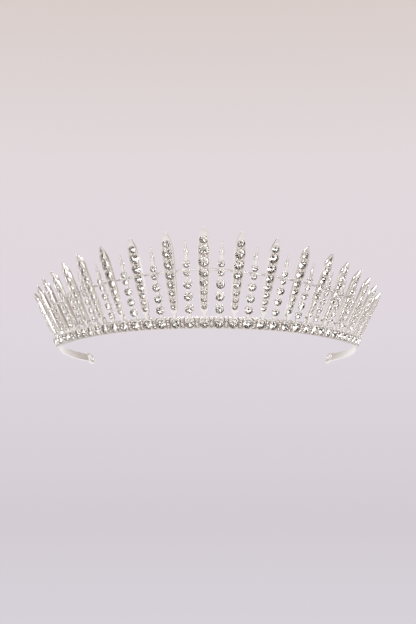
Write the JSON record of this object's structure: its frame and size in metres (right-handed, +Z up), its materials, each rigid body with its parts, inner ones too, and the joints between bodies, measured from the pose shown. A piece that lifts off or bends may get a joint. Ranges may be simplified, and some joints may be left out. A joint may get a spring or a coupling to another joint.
{
  "type": "bridal tiara",
  "caption": "Open silver-plated tiara with graduated stone-set spears and beaded stems on a base row of claw-set stones, carried by a plain sprung headband that ends in hair-pin loops.",
  "frame": {"origin": "middle of the plan's box, on the level surface that the tiara rests on", "axes": "+Z up out of the band's plane, front of the tiara towards -Y, wearer's left hand side of the band towards +X, open rear with the end loops towards +Y; left and right in names are as seen from the front"},
  "size_m": [0.1594, 0.1735, 0.039],
  "materials": {
    "cast_silver": "bright silver plate on cast settings",
    "band_silver": "bright silver plate on rolled strip and drawn wire",
    "clear_stone": "clear faceted rhinestone with a foiled back"
  },
  "bodies": {
    "root": {"headband": "band_silver", "base_settings": "cast_silver", "accent_settings": "cast_silver", "end_loop_left": "band_silver", "end_loop_right": "band_silver", "brace_wire": "band_silver", "spear_centre": "cast_silver", "spear_left_1": "cast_silver", "spear_left_2": "cast_silver", "spear_left_3": "cast_silver", "spear_left_4": "cast_silver", "spear_left_5": "cast_silver", "spear_left_6": "cast_silver", "spear_left_7": "cast_silver", "spear_left_8": "cast_silver", "spear_left_9": "cast_silver", "spear_right_1": "cast_silver", "spear_right_2": "cast_silver", "spear_right_3": "cast_silver", "spear_right_4": "cast_silver", "spear_right_5": "cast_silver", "spear_right_6": "cast_silver", "spear_right_7": "cast_silver", "spear_right_8": "cast_silver", "spear_right_9": "cast_silver", "stem_left_1": "cast_silver", "stem_left_2": "cast_silver", "stem_left_3": "cast_silver", "stem_left_4": "cast_silver", "stem_left_5": "cast_silver", "stem_left_6": "cast_silver", "stem_left_7": "cast_silver", "stem_left_8": "cast_silver", "stem_left_9": "cast_silver", "stem_right_1": "cast_silver", "stem_right_2": "cast_silver", "stem_right_3": "cast_silver", "stem_right_4": "cast_silver", "stem_right_5": "cast_silver", "stem_right_6": "cast_silver", "stem_right_7": "cast_silver", "stem_right_8": "cast_silver", "stem_right_9": "cast_silver", "base_stones": "clear_stone", "accent_stones": "clear_stone", "spear_stones_1": "clear_stone", "spear_stones_2": "clear_stone", "spear_stones_3": "clear_stone", "spear_stones_4": "clear_stone", "spear_stones_5": "clear_stone", "spear_stones_6": "clear_stone", "spear_stones_7": "clear_stone", "spear_stones_8": "clear_stone", "stem_stones_1": "clear_stone", "stem_stones_2": "clear_stone", "stem_stones_3": "clear_stone", "stem_stones_4": "clear_stone", "stem_stones_5": "clear_stone"}
  },
  "joints": []
}
